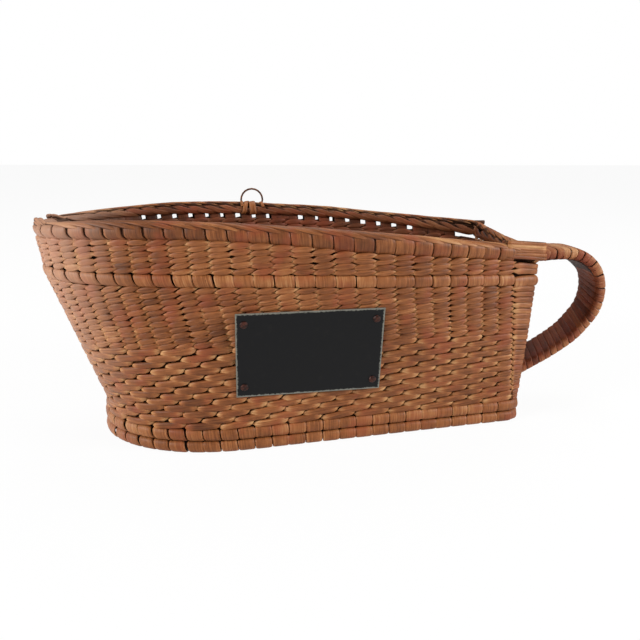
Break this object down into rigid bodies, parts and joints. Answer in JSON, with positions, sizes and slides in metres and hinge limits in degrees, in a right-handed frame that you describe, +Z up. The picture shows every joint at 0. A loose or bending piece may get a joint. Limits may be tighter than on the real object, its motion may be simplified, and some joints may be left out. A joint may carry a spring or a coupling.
{
  "type": "wine bottle basket",
  "caption": "Woven cane basket that holds a wine bottle lying down, open on top, with a loop handle at the back, a small hanging ring on the rim and a blank riveted plate on one side",
  "frame": {"origin": "middle of the whole basket's box at the height of the table, under the foot roll", "axes": "+X towards the handle along the bottle, +Y towards the side with the hanging ring, +Z up; the name plate is on the -Y side and the open lip for the bottle's neck at -X"},
  "size_m": [0.3688, 0.1318, 0.1431],
  "materials": {
    "skein": "varnished split cane, worn",
    "wrapped_skein": "varnished split cane wound tight",
    "stake": "dull split cane",
    "handle_cane": "dull bent cane",
    "handle_skein": "varnished split cane, glossy where held",
    "enamel": "semi-gloss enamel with worn edges",
    "copper": "tarnished copper",
    "wire": "dull browned wire"
  },
  "bodies": {
    "basket": {"foot_lower_roll": "wrapped_skein", "foot_upper_roll": "wrapped_skein", "wall_lower": "skein", "wall_middle": "skein", "middle_band": "wrapped_skein", "wall_upper": "skein", "rim_band": "wrapped_skein", "rim_inner_band": "wrapped_skein", "rim_top_roll": "wrapped_skein", "base_panel": "skein", "stake_pair_01": "stake", "stake_pair_02": "stake", "stake_pair_03": "stake", "stake_pair_04": "stake", "stake_pair_05": "stake", "stake_pair_06": "stake", "stake_pair_07": "stake", "stake_pair_08": "stake", "stake_pair_09": "stake", "stake_pair_10": "stake", "stake_pair_11": "stake", "stake_pair_12": "stake", "stake_pair_13": "stake", "stake_pair_14": "stake", "stake_pair_15": "stake", "stake_pair_16": "stake", "stake_pair_17": "stake", "stake_pair_18": "stake", "stake_pair_19": "stake", "stake_pair_20": "stake", "stake_pair_21": "stake", "stake_pair_22": "stake", "stake_pair_23": "stake", "stake_pair_24": "stake", "nose_stake_1": "stake", "nose_stake_2": "stake", "nose_stake_3": "stake", "nose_stake_4": "stake", "nose_stake_5": "stake", "nose_stake_6": "stake", "nose_stake_7": "stake", "back_stake_1": "stake", "back_stake_2": "stake", "back_stake_3": "stake", "back_stake_4": "stake", "back_stake_5": "stake", "back_stake_6": "stake", "back_stake_7": "stake", "corner_post_near": "stake", "corner_post_far": "stake", "handle_core": "handle_cane", "handle_wrap": "handle_skein", "name_plate": "enamel", "rivet_top_back": "copper", "rivet_top_front": "copper", "rivet_bottom_back": "copper", "rivet_bottom_front": "copper", "ring_lashing": "skein"},
    "ring": {"hanging_ring": "wire"}
  },
  "joints": [
    {"name": "ring_swing", "type": "hinge", "parent": "basket", "child": "ring", "pos_m": [-0.05193, 0.06363, 0.12728], "axis": [-0.998, -0.0638, 0], "range_deg": [0, 120]}
  ]
}
